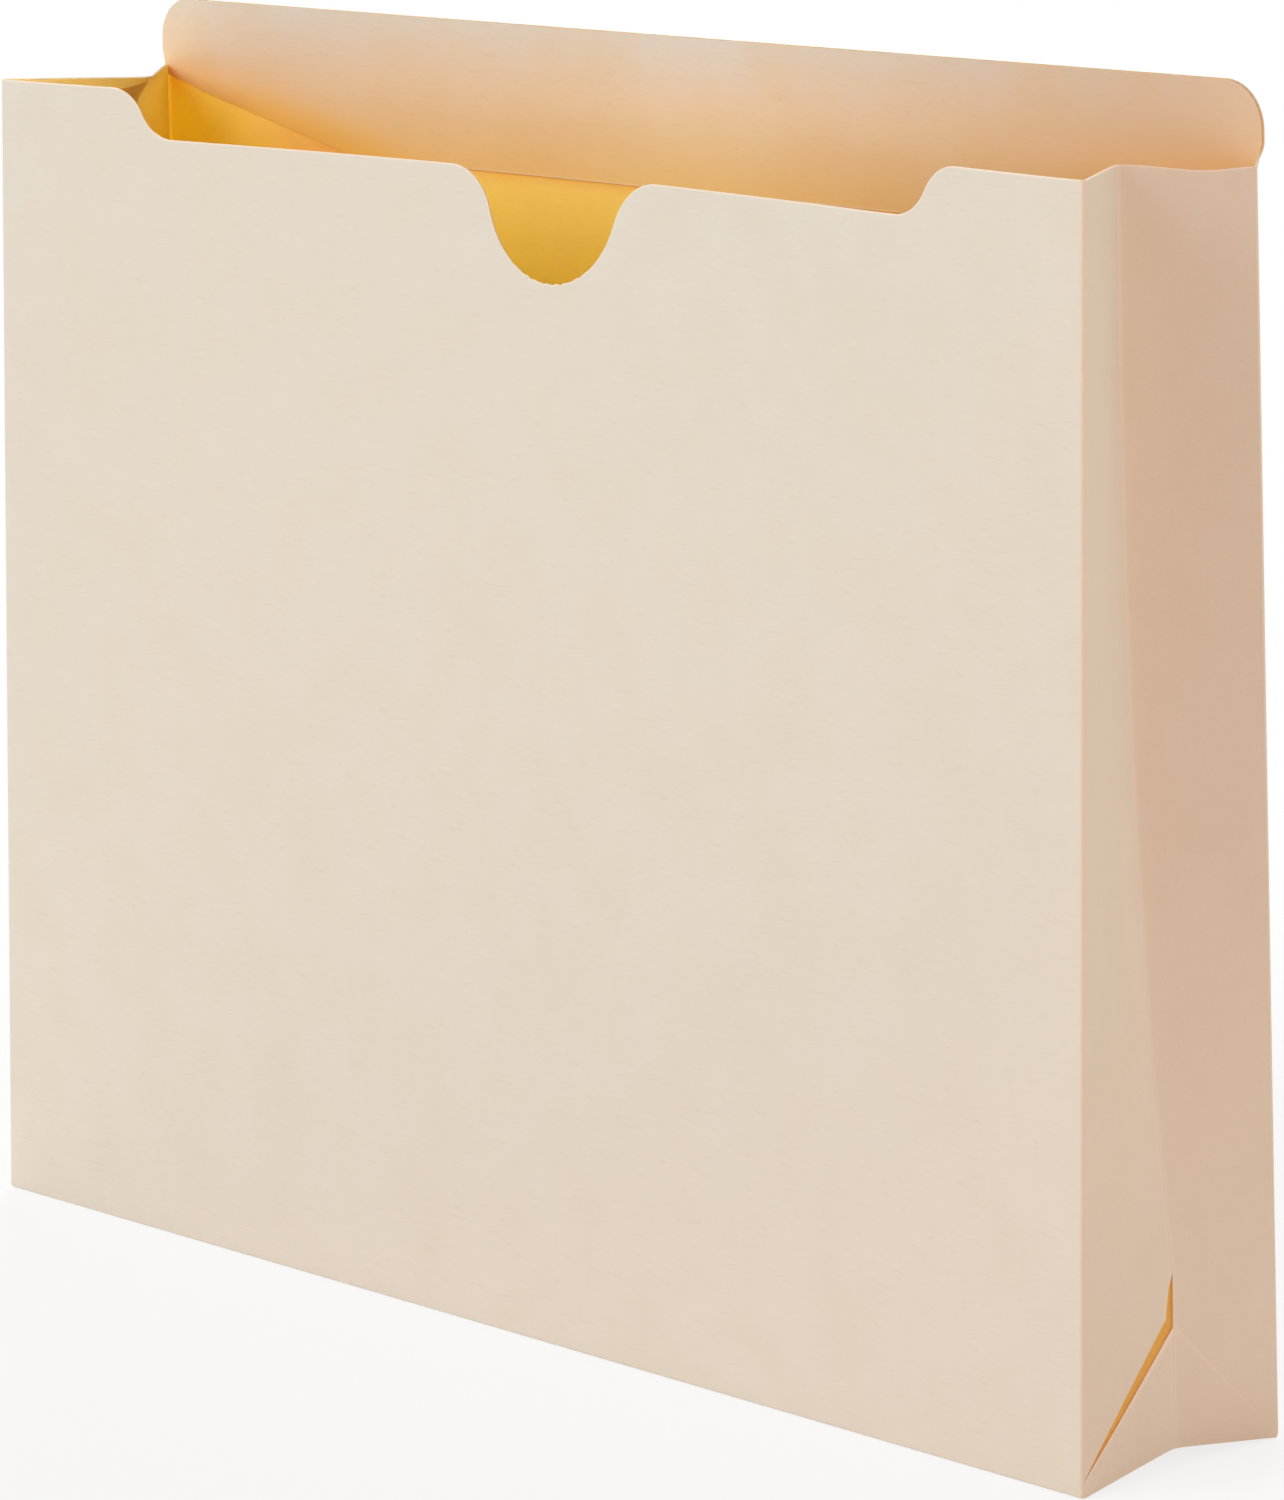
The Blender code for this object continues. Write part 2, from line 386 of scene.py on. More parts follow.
# The flap inside a gusset's front half: doubled board too, painted more orange as a glow where it
# shows through the slit.
GLUE_FLAP = replace(
    INSIDE, name="manila_glue_flap", light_through=0.5,
    ground=((0.0, "FFB152"), (0.06, "FFB856"), (MOUTH, "FCC86A")),
)
# The rim of the board: bare pulp, paler than the calendered faces, partly as a painted highlight.
CUT_EDGE = Manila(
    name="manila_cut_edge",
    ground=((0.0, "F3DFC2"), (CROWN, "FBEBD6")),
    edge="FBEBD6", fold="F6E8D2", dark_fibre="E6D0AC", pale_fibre="FFF6E8", cloud="F0DEC2",
)


@dataclass(frozen=True)
class Creases:
    """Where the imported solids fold, read from the frame."""

    half_width: float
    tab_half_width: float
    mouth: float
    crown: float
    stock: float

    @classmethod
    def from_frame(cls) -> "Creases":
        """Read the panels' sizes from their solids.

        Returns:
            The places of the jacket's edges.
        """
        front_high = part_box("front_panel")[1]
        rear_low, rear_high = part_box("rear_panel")
        return cls(
            half_width=front_high.x,
            tab_half_width=rear_high.x,
            mouth=front_high.z,
            crown=rear_high.z,
            stock=rear_high.y - rear_low.y,
        )


@dataclass(frozen=True)
class Stance:
    """How the open jacket stands: wider at the foot than at the mouth, with soft folds."""

    spread_foot: float = 0.0517
    spread_mouth: float = 0.0438
    flare: float = 0.0019
    front_drawn_in: float = 0.00095
    rear_drawn_in: float = 0.00040
    fold_radius: float = 0.0006
    # Height of the bottom's folds over the floor, in thicknesses of the board.
    foot_room: float = 0.55
    valley_foot: float = 0.0018
    valley_mouth: float = 0.0123
    valley_start: float = 0.034
    valley_power: float = 2.6
    # How much deeper the left crease is at the mouth, and how far down that reaches.
    left_pinch: float = 0.0077
    pinch_reach: float = 0.0042
    valley_softness: float = 0.05
    bottom_rise: float = 0.0030
    # The front panel's sag at its edge, how flat it runs out to the sides, how far it leans
    # to the right, and how late it sets in above the foot.
    bow: float = 0.0120
    bow_power: float = 1.6
    bow_skew: float = -0.12
    bow_rise: float = 1.2


@dataclass(frozen=True)
class Form:
    """The surface at the middle of the board, all round the open jacket."""

    creases: Creases
    stance: Stance

    @property
    def foot(self) -> float:
        """Height at which the panels start to turn under."""
        return self.creases.stock * self.stance.foot_room + self.stance.fold_radius

    @property
    def flat_half_width(self) -> float:
        """Nominal half width of a panel between its side folds."""
        return self.creases.half_width - self.creases.stock / 2 - self.stance.fold_radius

    def half_spread(self, z: float) -> float:
        """Give the distance from the middle plane to a panel.

        Args:
            z: Height.

        Returns:
            The distance to the middle of the board.
        """
        foot, mouth = self.stance.spread_foot, self.stance.spread_mouth
        whole = foot + (mouth - foot) * (z / self.creases.mouth)
        return (whole - self.creases.stock) / 2

    def side(self, face: Face, z: float) -> float:
        """Give the distance from the middle to a panel's side fold.

        Args:
            face: Which panel.
            z: Height.

        Returns:
            The distance, which is drawn in towards the mouth.
        """
        stance = self.stance
        drawn_in = stance.front_drawn_in if face is Face.FRONT else stance.rear_drawn_in
        lean = stance.flare - (stance.flare + drawn_in) * min(1.0, z / self.creases.mouth)
        return self.creases.half_width - self.creases.stock / 2 + lean

    def crease(self, side: Side, z: float) -> float:
        """Give the distance from the middle to a gusset's middle crease.

        Args:
            side: Which side of the jacket.
            z: Height.

        Returns:
            The distance, which is pinched in at the left mouth.
        """
        below = max(0.0, self.creases.mouth - z)
        pinch = self.stance.left_pinch if side is Side.LEFT else 0.0
        depth = self.valley(z) + pinch * math.exp(-below / self.stance.pinch_reach)
        return sum(self.side(face, z) for face in Face) / len(Face) - depth

    def valley(self, z: float) -> float:
        """Give the depth of a gusset's middle crease, without a pinch.

        Args:
            z: Height.

        Returns:
            The depth, which grows towards the mouth.
        """
        stance = self.stance
        reach = self.creases.mouth - stance.valley_start
        share = min(1.0, max(0.0, (z - stance.valley_start) / reach))
        growth = 1 - (1 - share) ** stance.valley_power
        return stance.valley_foot + (stance.valley_mouth - stance.valley_foot) * growth

    def valley_shape(self, w: float) -> float:
        """Give the share of a valley's depth across it.

        Args:
            w: From 0 at the panel's fold to 1 at the middle crease.

        Returns:
            The share, from 0 to 1.
        """
        soft = self.stance.valley_softness
        whole = math.hypot(1, soft) - soft
        return 1 - (math.hypot(1 - w, soft) - soft) / whole

    def turn(self, depth: float, reach: float) -> float:
        """Angle through which the board turns at a fold.

        Args:
            depth: How far the sheet beyond the fold falls back at its crease.
            reach: How far its crease lies from the fold.

        Returns:
            The angle in radians.
        """
        soft = self.stance.valley_softness
        start_slope = 1 / (math.hypot(1, soft) * (math.hypot(1, soft) - soft))
        return math.pi / 2 + math.atan(depth * start_slope / reach)

    def panel(self, face: Face, s: float, z: float, under: float = 0.0) -> Vector:
        """Give a point of a panel.

        Args:
            face: Which panel.
            s: From -1 to 1 across the flat, and on to -2 or 2 round the side fold.
            z: Height, before the foot turns under.
            under: From 0 to 1 round the foot's fold.

        Returns:
            The point.
        """
        radius = self.stance.fold_radius
        half = self.half_spread(z)
        flat = self.side(face, z) - radius
        inward = 0.0
        x = max(-1.0, min(1.0, s)) * flat
        if abs(s) > 1:
            angle = (abs(s) - 1) * self.turn(self.valley(z), half - radius)
            x += math.copysign(radius * math.sin(angle), s)
            inward += radius * (1 - math.cos(angle))
        elif face is Face.FRONT:
            inward += self.front_bow(s, z)
        if under > 0:
            angle = under * self.turn(self.stance.bottom_rise, half - radius)
            z -= radius * math.sin(angle)
            inward += radius * (1 - math.cos(angle))
        return Vector((x, face.value * (half - inward), z))

    def front_bow(self, s: float, z: float) -> float:
        """Give the front panel's sag between its side folds.

        Args:
            s: From -1 to 1 across the flat.
            z: Height.

        Returns:
            How far it sags inwards.
        """
        stance = self.stance
        across = (1 - s * s) ** stance.bow_power * (1 + stance.bow_skew * s)
        return stance.bow * across * (max(0.0, z) / self.creases.mouth) ** stance.bow_rise

    def gusset(self, side: Side, face: Face, w: float, z: float) -> Vector:
        """Give a point of a gusset's half.

        Args:
            side: Which side of the jacket.
            face: Which half of the gusset.
            w: From 0 at the panel's fold to 1 at the middle crease.
            z: Height.

        Returns:
            The point.
        """
        start = self.panel(face, 2.0 * side.value, z)
        crease = side.value * self.crease(side, z)
        x = start.x + (crease - start.x) * self.valley_shape(w)
        return Vector((x, start.y * (1 - w), z))

    def bottom_height(self, w: float) -> float:
        """Height of the bottom, from 0 at the panel's fold to 1 at its middle crease."""
        start = self.panel(Face.FRONT, 0.0, self.foot, under=1.0).z
        return start + self.stance.bottom_rise * self.valley_shape(w)

    def bottom(self, face: Face, u: float, w: float, end_gap: float) -> Vector:
        """Give a point of a bottom half.

        Args:
            face: Which half of the bottom.
            u: From -1 to 1 along the jacket.
            w: From 0 at the panel's fold to 1 at the middle crease.
            end_gap: Room between the bottom's ends and the webs.

        Returns:
            The point.
        """
        z = self.bottom_height(w)
        start = self.panel(face, 0.0, self.foot, under=1.0)
        end = abs(self.gusset(Side.RIGHT, face, w, z).x) - end_gap
        return Vector((u * end, start.y * (1 - w), z))


@dataclass
class Sheet:
    """One sheet of board, laid over a grid of stations and given its thickness.

    Attributes:
        name: Name of the piece.
        node: Solid that it stands for.
        body: Body that it rides on.
        across: Stations across the grid.
        up: Stations up the grid.
        lay: Place of a station, at the middle of the board.
        outward: Direction that the outer face looks.
        stock: Thickness of the board.
        folded: How much of a fold's tone a station takes, from 0 to 1: rubbed wear with a painted
            highlight, or a painted shade on the tab's ply.
        cut: How much of a cut edge's tone, bare pulp with a painted highlight, it takes.
        painted_glow: How much of the glow painted in the pocket's corners it takes.
        finishes: Outer face, inner face and rim.
        flatten_to: Solid onto whose plane it would flatten as the jacket closes, if not its own; not
            used.
    """

    name: str
    node: str
    body: str
    across: Sequence[float]
    up: Sequence[float]
    lay: Lay
    outward: Vector
    stock: float
    folded: Tone
    cut: Tone = nowhere
    painted_glow: Tone = nowhere
    finishes: tuple[Manila, Manila, Manila] = (OUTSIDE, INSIDE, CUT_EDGE)
    flatten_to: str = ""

    def build(self) -> bpy.types.Object:
        """Model the sheet.

        Returns:
            The finished piece, riding on its body.
        """
        bpy.ops.object.select_all(action="DESELECT")
        columns, rows = len(self.across) - 1, len(self.up) - 1
        bpy.ops.mesh.primitive_grid_add(x_subdivisions=columns, y_subdivisions=rows, size=1.0)
        piece = bpy.context.object
        piece.name = piece.data.name = self.name
        self.place(piece.data, columns, rows)
        bpy.ops.object.mode_set(mode="EDIT")
        bpy.ops.mesh.select_all(action="SELECT")
        if sum((p.normal * p.area for p in piece.data.polygons), Vector()).dot(self.outward) < 0:
            bpy.ops.mesh.flip_normals()
        bpy.ops.object.mode_set(mode="OBJECT")
        thicken = piece.modifiers.new("board", "SOLIDIFY")
        thicken.thickness = self.stock
        thicken.offset = 0.0
        thicken.material_offset = 1
        thicken.material_offset_rim = 2
        for finish in self.finishes:
            piece.data.materials.append(finish_material(finish))
        bpy.ops.object.modifier_apply(modifier=thicken.name)
        bpy.ops.object.shade_smooth_by_angle(angle=SHARP_ANGLE)
        self.attach(piece)
        log.info("%s: %d faces, rides %s", piece.name, len(piece.data.polygons), self.body)
        return piece

    def place(self, mesh: bpy.types.Mesh, columns: int, rows: int) -> None:
        """Lay the flat grid over the sheet's surface and mark its edges and folds.

        Args:
            mesh: The grid, one unit square about the origin.
            columns: Faces across it.
            rows: Faces up it.
        """
        marks = {"cut_edge": self.cut, "fold": self.folded, "painted_glow": self.painted_glow}
        for name in marks:
            mesh.attributes.new(name, "FLOAT", "POINT")
        layers = [(mesh.attributes[name], rule) for name, rule in marks.items()]
        for vertex in mesh.vertices:
            s = self.across[round((vertex.co.x + 0.5) * columns)]
            t = self.up[round((vertex.co.y + 0.5) * rows)]
            vertex.co = self.lay(s, t)
            for layer, rule in layers:
                layer.data[vertex.index].value = rule(s, t)
        mesh.update()

    def attach(self, piece: bpy.types.Object) -> None:
        """Ride the piece on its body, in its solid's place.

        Args:
            piece: The finished sheet.
        """
        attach(piece, self.body)
        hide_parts(self.node)
        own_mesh(piece)


def finish_material(finish: Manila) -> bpy.types.Material:
    """Give a finish's material, made the first time that it is asked for."""
    return bpy.data.materials.get(finish.name) or finish.material()


def side_fold_wear_and_highlight(s: float, t: float) -> float:
    """Give the rubbed wear and painted highlight along a panel's side folds and foot fold.

    Args:
        s: Station across the panel, past -1 or 1 round a side fold.
        t: Station up the panel, below 0 round the foot's fold.

    Returns:
        From 0 on the flat to 1 at the middle of a fold.
    """
    round_side = math.sin(math.pi * (abs(s) - 1)) if abs(s) > 1 else 0.0
    round_foot = math.sin(math.pi * -t) if t < 0 else 0.0
    return max(0.0, round_side, round_foot)


@dataclass
class FrontPanel:
    """The front panel: two ears, a lowered edge between them and a thumb cut."""

    form: Form
    ear_length: float = 0.0375
    recess_start: float = 0.0430
    recess_depth: float = 0.0095
    ogee_radius: float = 0.0094
    thumb_offset: float = 0.004
    thumb_depth: float = 0.0205
    thumb_half_mouth: float = 0.0205
    thumb_half_floor: float = 0.0125
    thumb_shoulder: float = 0.012
    thumb_floor: float = 0.0182
    edge_step: float = 0.0012
    # The torn nicks in the thumb cut's floor: height, spacing, how the height swells along
    # the floor, and the heights over it between which they end.
    rag_depth: float = 0.00022
    rag_pitch: float = 0.0017
    rag_beat: float = 0.37
    rag_phase: float = 1.0
    rag_fade: tuple[float, float] = (0.001, 0.006)
    rows: int = 46

    def top_line(self) -> list[tuple[float, float]]:
        """Draw the cut edge from the left side fold to the right one.

        Returns:
            X and Z along the edge.
        """
        creases = self.form.creases
        flat = self.form.flat_half_width
        ear = creases.half_width - self.ear_length
        recess = creases.half_width - self.recess_start
        low = creases.mouth - self.recess_depth
        floor = low - self.thumb_depth
        corners = [
            (-flat, creases.mouth, 0.0),
            (-ear, creases.mouth, self.ogee_radius),
            (-recess, low, self.ogee_radius),
            (self.thumb_offset - self.thumb_half_mouth, low, self.thumb_shoulder),
            (self.thumb_offset - self.thumb_half_floor, floor, self.thumb_floor),
            (self.thumb_offset + self.thumb_half_floor, floor, self.thumb_floor),
            (self.thumb_offset + self.thumb_half_mouth, low, self.thumb_shoulder),
            (recess, low, self.ogee_radius),
            (ear, creases.mouth, self.ogee_radius),
            (flat, creases.mouth, 0.0),
        ]
        line = rounded_line(corners, longest=self.edge_step)
        fade = [floor + rise for rise in self.rag_fade]
        return [(x, z + self.rag(x) * (1 - smooth(*fade, z))) for x, z in line]

    def rag(self, x: float) -> float:
        """Height of the torn nicks along the floor of the thumb cut."""
        wave = 2 * math.pi * x / self.rag_pitch
        return self.rag_depth * math.sin(wave) * math.sin(self.rag_beat * wave + self.rag_phase)

    def build(self) -> None:
        """Model the panel and hang it on the front body."""
        form = self.form
        heights = {x / form.flat_half_width: z for x, z in self.top_line()}
        band = 1 - EDGE_BAND / form.creases.mouth

        def lay(s: float, t: float) -> Vector:
            """Put a station of the grid in its place.

            Args:
                s: From -1 to 1 across the flat, and on round the side folds.
                t: From 0 at the foot to 1 at the cut edge, and from -1 to 0 round the foot.

            Returns:
                The place.
            """
            top = heights.get(s, form.creases.mouth)
            z = form.foot + max(0.0, t) * (top - form.foot)
            return form.panel(Face.FRONT, s, z, under=max(0.0, -t))

        Sheet(
            name="front_panel_board", node="front_panel", body="front_panel",
            across=with_side_folds(sorted(heights)),
            up=spread(-1.0, 0.0, FOOT_FOLD_STEPS) + spread(0.0, band, self.rows)[1:] + [1.0],
            lay=lay, outward=Vector((0, -1, 0)), stock=form.creases.stock,
            folded=side_fold_wear_and_highlight, cut=lambda s, t: float(t == 1.0),
        ).build()


@dataclass
class RearPanel:
    """The rear panel with its straight tab, and the ply that stiffens the tab inside."""

    form: Form
    tab_corner: float = 0.0085
    # How far below and above the mouth the outline widens to the tab.
    neck_low: float = 0.0022
    neck_high: float = 0.0030
    # Width of the tab's last columns, which the side folds run into.
    side_margin: float = 0.0020
    columns: int = 90
    body_rows: int = 44
    neck_rows: int = 8
    tab_rows: int = 3
    # Degrees between the rows over a corner.
    corner_step: int = 6
    ply_height: float = 0.029
    ply_inset: float = 0.00015
    # How far the ply's ends clear the folds, and how much further its lower corners do.
    ply_relief: float = 0.009
    ply_slant: float = 0.050
    # Distances below the mouth between which the ply widens to the tab.
    ply_step: tuple[float, float] = (0.0045, 0.0018)
    # Height over the ply's foot at which its even rows start.
    ply_band: float = 0.002
    ply_rows: tuple[int, int] = (5, 10)
    ply_columns: int = 60
    # Shares of the ply's half width at which its last columns start.
    ply_ends: tuple[float, float] = (0.96, 0.997)
    # Shares of a cut edge's tone at the ply's foot and crown.
    ply_wear: tuple[float, float] = (0.5, 0.3)
    # Share of the fold's darker tone painted as shade on the ply's right end, and where it starts.
    ply_shade: float = 0.45
    ply_shade_start: float = 0.1
    glue_gap: float = 0.00003
    # The glow painted in the pocket's corners: its reach from the folds, and where it fades at the
    # mouth.
    glow_reach: float = 0.055
    glow_drop: float = 0.010
    glow_rise: float = 0.005

    def tab_half_width(self, z: float, inset: float = 0.0) -> float:
        """Half width of the tab at a height.

        Args:
            z: Height.
            inset: How far inside the tab's outline.

        Returns:
            The half width.
        """
        creases = self.form.creases
        radius = self.tab_corner - inset
        rise = max(0.0, z - (creases.crown - self.tab_corner))
        corner = radius - math.sqrt(max(0.0, radius * radius - rise * rise))
        return creases.tab_half_width - inset - corner

    def edge(self, z: float, inset: float = 0.0) -> float:
        """Half width of the flat panel at a height, from its side folds out to the tab.

        Args:
            z: Height.
            inset: How far inside the outline.

        Returns:
            The half width.
        """
        mouth = self.form.creases.mouth
        fold = self.form.side(Face.REAR, z) - inset
        share = smooth(mouth - self.neck_low, mouth + self.neck_high, z)
        return fold + (self.tab_half_width(z, inset) - fold) * share

    def corner_levels(self, inset: float = 0.0) -> list[float]:
        """Heights at which the tab's rounded corner gets a row of faces.

        Args:
            inset: How far inside the tab's outline.

        Returns:
            Heights from the corner's start to the crown.
        """
        start = self.form.creases.crown - self.tab_corner
        radius = self.tab_corner - inset
        angles = range(0, 91, self.corner_step)
        return [start + radius * math.sin(math.radians(angle)) for angle in angles]

    def build(self) -> None:
        """Model the panel and its ply."""
        self.build_panel()
        self.build_ply()

    def build_panel(self) -> None:
        """Model the rear panel, whose side folds end below the tab."""
        form = self.form
        mouth = form.creases.mouth
        neck = spread(mouth - self.neck_low, mouth + self.neck_high, self.neck_rows)
        up = spread(-1.0, 0.0, FOOT_FOLD_STEPS)[:-1]
        up += spread(form.foot, neck[0], self.body_rows) + neck[1:]
        up += spread(neck[-1], form.creases.crown - self.tab_corner, self.tab_rows)[1:]
        up += self.corner_levels()[1:]

        def lay(s: float, t: float) -> Vector:
            """Put a station of the grid in its place.

            Args:
                s: From -1 to 1 across the flat, and on round the side folds.
                t: Height, or from -1 to 0 round the foot.

            Returns:
                The place.
            """
            z = max(t, form.foot)
            folded = form.panel(Face.REAR, s, z, under=max(0.0, -t))
            share = smooth(neck[0], neck[-1], z)
            if share == 0.0:
                return folded
            inner = self.tab_half_width(z) - self.side_margin
            past = max(0.0, abs(s) - 1)
            x = max(-1.0, min(1.0, s)) * inner + math.copysign(past * self.side_margin, s)
            return folded.lerp(Vector((x, form.half_spread(z), z)), share)

        Sheet(
            name="rear_panel_board", node="rear_panel", body="rear_panel",
            across=with_side_folds(spread(-1.0, 1.0, self.columns)), up=up, lay=lay,
            outward=Vector((0, 1, 0)), stock=form.creases.stock,
            folded=lambda s, t: side_fold_wear_and_highlight(s, t) if t < mouth else 0.0,
            painted_glow=self.glow, finishes=(OUTSIDE, REAR_INSIDE, OUTSIDE),
        ).build()

    def glow(self, s: float, z: float) -> float:
        """Give the share of painted glow in the pocket's corners.

        Args:
            s: From -1 to 1 across the flat.
            z: Height.

        Returns:
            From 0 on the flat to 1 at a side fold.
        """
        away = max(0.0, 1 - abs(s)) * self.form.flat_half_width
        mouth = self.form.creases.mouth
        fade = smooth(mouth - self.glow_drop, mouth + self.glow_rise, z)
        return (1 - smooth(0.0, self.glow_reach, away)) * (1 - fade)

    def build_ply(self) -> None:
        """Model the ply glued to the tab, narrower below it to clear the gussets."""
        form = self.form
        creases = form.creases
        foot = creases.crown - self.ply_height
        step = [creases.mouth - drop for drop in self.ply_step]
        up = [foot, foot + EDGE_BAND]
        up += spread(foot + self.ply_band, step[0], self.ply_rows[0])
        up += spread(*step, self.ply_rows[1])[1:]
        up += spread(step[1], creases.crown - self.tab_corner, self.tab_rows)[1:]
        up += self.corner_levels(self.ply_inset)[1:]
        near, last = self.ply_ends
        across = [-1.0, -last] + spread(-near, near, self.ply_columns) + [last, 1.0]
        wear = dict(zip((foot, up[-1]), self.ply_wear))
        set_back = creases.stock + self.glue_gap

        def lay(s: float, t: float) -> Vector:
            """Put a station of the grid in its place.

            Args:
                s: From -1 to 1 across the ply.
                t: Height.

            Returns:
                The place.
            """
            slant = self.ply_slant * (1 - min(1.0, (t - foot) / (step[0] - foot)))
            narrow = form.side(Face.REAR, t) - self.ply_relief - slant
            half = narrow + (self.edge(t, self.ply_inset) - narrow) * smooth(*step, t)
            return Vector((s * half, form.half_spread(t) - set_back, t))

        Sheet(
            name="tab_ply_board", node="tab_ply", body="rear_panel",
            across=across, up=up, lay=lay, outward=Vector((0, 1, 0)), stock=creases.stock,
            # The fold's tone on the ply is a painted shade, darker towards its right end.
            folded=lambda s, t: self.ply_shade * smooth(self.ply_shade_start, 1.0, s),
            cut=lambda s, t: wear.get(t, 0.0),
            painted_glow=self.glow, finishes=(TAB_PLY, TAB_PLY, TAB_PLY),
        ).build()


@dataclass
class SideGusset:
    """One side's gusset: two halves, the flap that glues them and the webs at their foot."""

    form: Form
    side: Side
    # Heights of the line between half and web, at the two folds and at the crease.
    mitre_front: float = 0.0030
    mitre_rear: float = 0.0008
    apex: float = 0.0258
    # The slit along the front line, and its opening beside the crease.
    slit_top: float = 0.0345
    slit_width: float = 0.0017
    slit_tip: float = 0.0002
    slit_taper: float = 2.5
    slit_mouth: float = 0.0021
    # How far a half runs in behind the panel's fold, as a share of its width.
    tuck: float = 0.004
    # The dip in the right side's top edge, and how much of it rises again at the fold.
    top_dip: float = 0.0015
    dip_reach: float = 0.30
    fold_lift: float = 0.25
    # Share of the fold's tone along the crease: rubbed wear with a painted highlight.
    crease_wear_and_highlight: float = 0.5
    wear_band: tuple[float, float] = (0.96, 0.998)
    # Share of painted glow inside the rear half at its fold, and its loss at the crease.
    fold_glow: float = 0.9
    glow_loss: float = 0.6
    # Share of a cut edge's paler tone painted along the rear web's crease as a highlight.
    rear_edge: float = 0.25
    # Faces over a half's flat and its rounding, and up it between changes of spacing.
    columns: tuple[int, int] = (26, 14)
    row_breaks: tuple[float, float] = (0.12, 0.93)
    rows: tuple[int, int, int] = (12, 32, 14)
    web_grid: tuple[int, int] = (30, 12)
    flap_width: float = 0.016
    flap_taper: float = 0.005
    flap_lap: float = 0.0015
    flap_room: float = 0.00005
    # Station of the foot's free edge, and the share of the height over which it narrows.
    flap_toe: float = 0.04
    flap_waist: float = 0.18
    flap_cover: float = 0.0025
    flap_clear: float = 0.001
    flap_grid: tuple[int, int] = (30, 60)
    # Step of w over which the half's direction is taken.
    probe: float = 0.01

    @property
    def word(self) -> str:
        """The side's name in the names of its pieces."""
        return self.side.name.lower()

    @property
    def outward(self) -> Vector:
        """Direction out of the jacket on this side."""
        return Vector((self.side.value, 0, 0))

    @property
    def half_width(self) -> float:
        """Width of one half of the gusset."""
        return self.form.half_spread(self.form.creases.mouth / 2)

    def mitre(self, face: Face, w: float) -> float:
        """Height of the line between a gusset's half and the web below it."""
        start = self.mitre_front if face is Face.FRONT else self.mitre_rear
        return start + (self.apex - start) * w

    def opening(self, face: Face, w: float) -> float:
        """Give the width of the gap between a half and the web below it.

        Args:
            face: Which half of the gusset.
            w: From 0 at the panel's fold to 1 at the middle crease.

        Returns:
            The width: a slit at the front, and nothing at the rear, where the line is a crease.
        """
        if face is Face.REAR:
            return 0.0
        growth = 1 - (1 - w) ** self.slit_taper
        return self.slit_tip + (self.slit_width - self.slit_tip) * growth

    def head(self, face: Face, w: float) -> float:
        """Give the height of a half's top edge.

        Args:
            face: Which half of the gusset.
            w: From 0 at the panel's fold to 1 at the middle crease.

        Returns:
            The height, which dips towards the rear fold on the right.
        """
        mouth = self.form.creases.mouth
        if face is Face.FRONT or self.side is Side.LEFT:
            return mouth
        near_fold = 1 - smooth(self.dip_reach, 1.0, w)
        lift = self.fold_lift * (1 - smooth(0.0, self.dip_reach, w))
        return mouth - self.top_dip * (near_fold - lift)

    def build(self) -> None:
        """Model the two halves, the flap and the two webs."""
        for face in Face:
            self.build_half(face)
            self.build_web(face)
        self.build_flap()

    def sheet(
        self,
        part: str,
        body: str,
        across: Sequence[float],
        up: Sequence[float],
        lay: Lay,
        cut: Tone = nowhere,
        painted_glow: Tone = nowhere,
        finishes: tuple[Manila, Manila, Manila] = (OUTSIDE, INSIDE, CUT_EDGE),
    ) -> None:
        """Build one sheet of this side.

        Args:
            part: What the sheet is, after the side's name.
            body: Body that the sheet rides on, after the side's name.
            across: Stations from the panel's fold to the crease.
            up: Stations from foot to head.
            lay: Place of a station.
            cut: Where the sheet's cut edges are.
            painted_glow: How much of the painted glow its inner face takes.
            finishes: Outer face, inner face and rim.
        """
        Sheet(
            name=f"{self.word}_{part}_board", node=f"{self.word}_{part}",
            body=f"{self.word}_{body}", across=across, up=up, lay=lay, outward=self.outward,
            stock=self.form.creases.stock,
            folded=lambda w, t: self.crease_wear_and_highlight * smooth(*self.wear_band, w),
            cut=cut, painted_glow=painted_glow, finishes=finishes, flatten_to=f"{self.word}_{body}",
        ).build()

    def build_half(self, face: Face) -> None:
        """Model one half of the gusset.

        Args:
            face: The half next to this panel.
        """
        form = self.form
        band = 1 - EDGE_BAND / form.creases.mouth
        breaks = (0.0, *self.row_breaks, band)
        up = [0.0]
        for start, end, steps in zip(breaks, breaks[1:], self.rows):
            up += spread(start, end, steps)[1:]
        up.append(1.0)
        slit_share = self.slit_mouth / self.half_width

        def lay(w: float, t: float) -> Vector:
            """Put a station of the grid in its place.

            Args:
                w: From 0 at the panel's fold to 1 at the middle crease.
                t: From 0 at the line above the web to 1 at the top edge.

            Returns:
                The place.
            """
            low = self.mitre(face, max(0.0, w)) + self.opening(face, max(0.0, w)) / 2
            z = low + (self.head(face, w) - low) * t
            if face is Face.FRONT:
                closed = min(1.0, max(0.0, (z - self.apex) / (self.slit_top - self.apex)))
                w *= 1 - slit_share * math.sqrt(1 - closed)
            return form.gusset(self.side, face, w, z)

        part = f"{face.name.lower()}_gusset"
        across = [-self.tuck] + up_to_crease(0.0, *self.columns)
        self.sheet(part, part, across, up, lay, lambda w, t: float(t == 1.0),
                   lambda w, t: self.glow(face, w))

    def glow(self, face: Face, w: float) -> float:
        """Share of painted glow inside a half: most at the rear fold, and none in the front half."""
        return self.fold_glow - self.glow_loss * w if face is Face.REAR else 0.0

    def build_web(self, face: Face) -> None:
        """Model the web that closes the corner below one half.

        Args:
            face: The half above this web.
        """
        form = self.form
        columns, rows = self.web_grid
        edge = 1.0 if face is Face.FRONT else self.rear_edge

        def lay(w: float, t: float) -> Vector:
            """Put a station of the grid in its place.

            Args:
                w: From 0 at the panel's fold to 1 at the middle crease.
                t: From 0 at the bottom to 1 at the line below the half.

            Returns:
                The place.
            """
            low = form.bottom_height(w) - form.creases.stock / 2
            high = self.mitre(face, w) - self.opening(face, w) / 2
            return form.gusset(self.side, face, w, low + (high - low) * t)

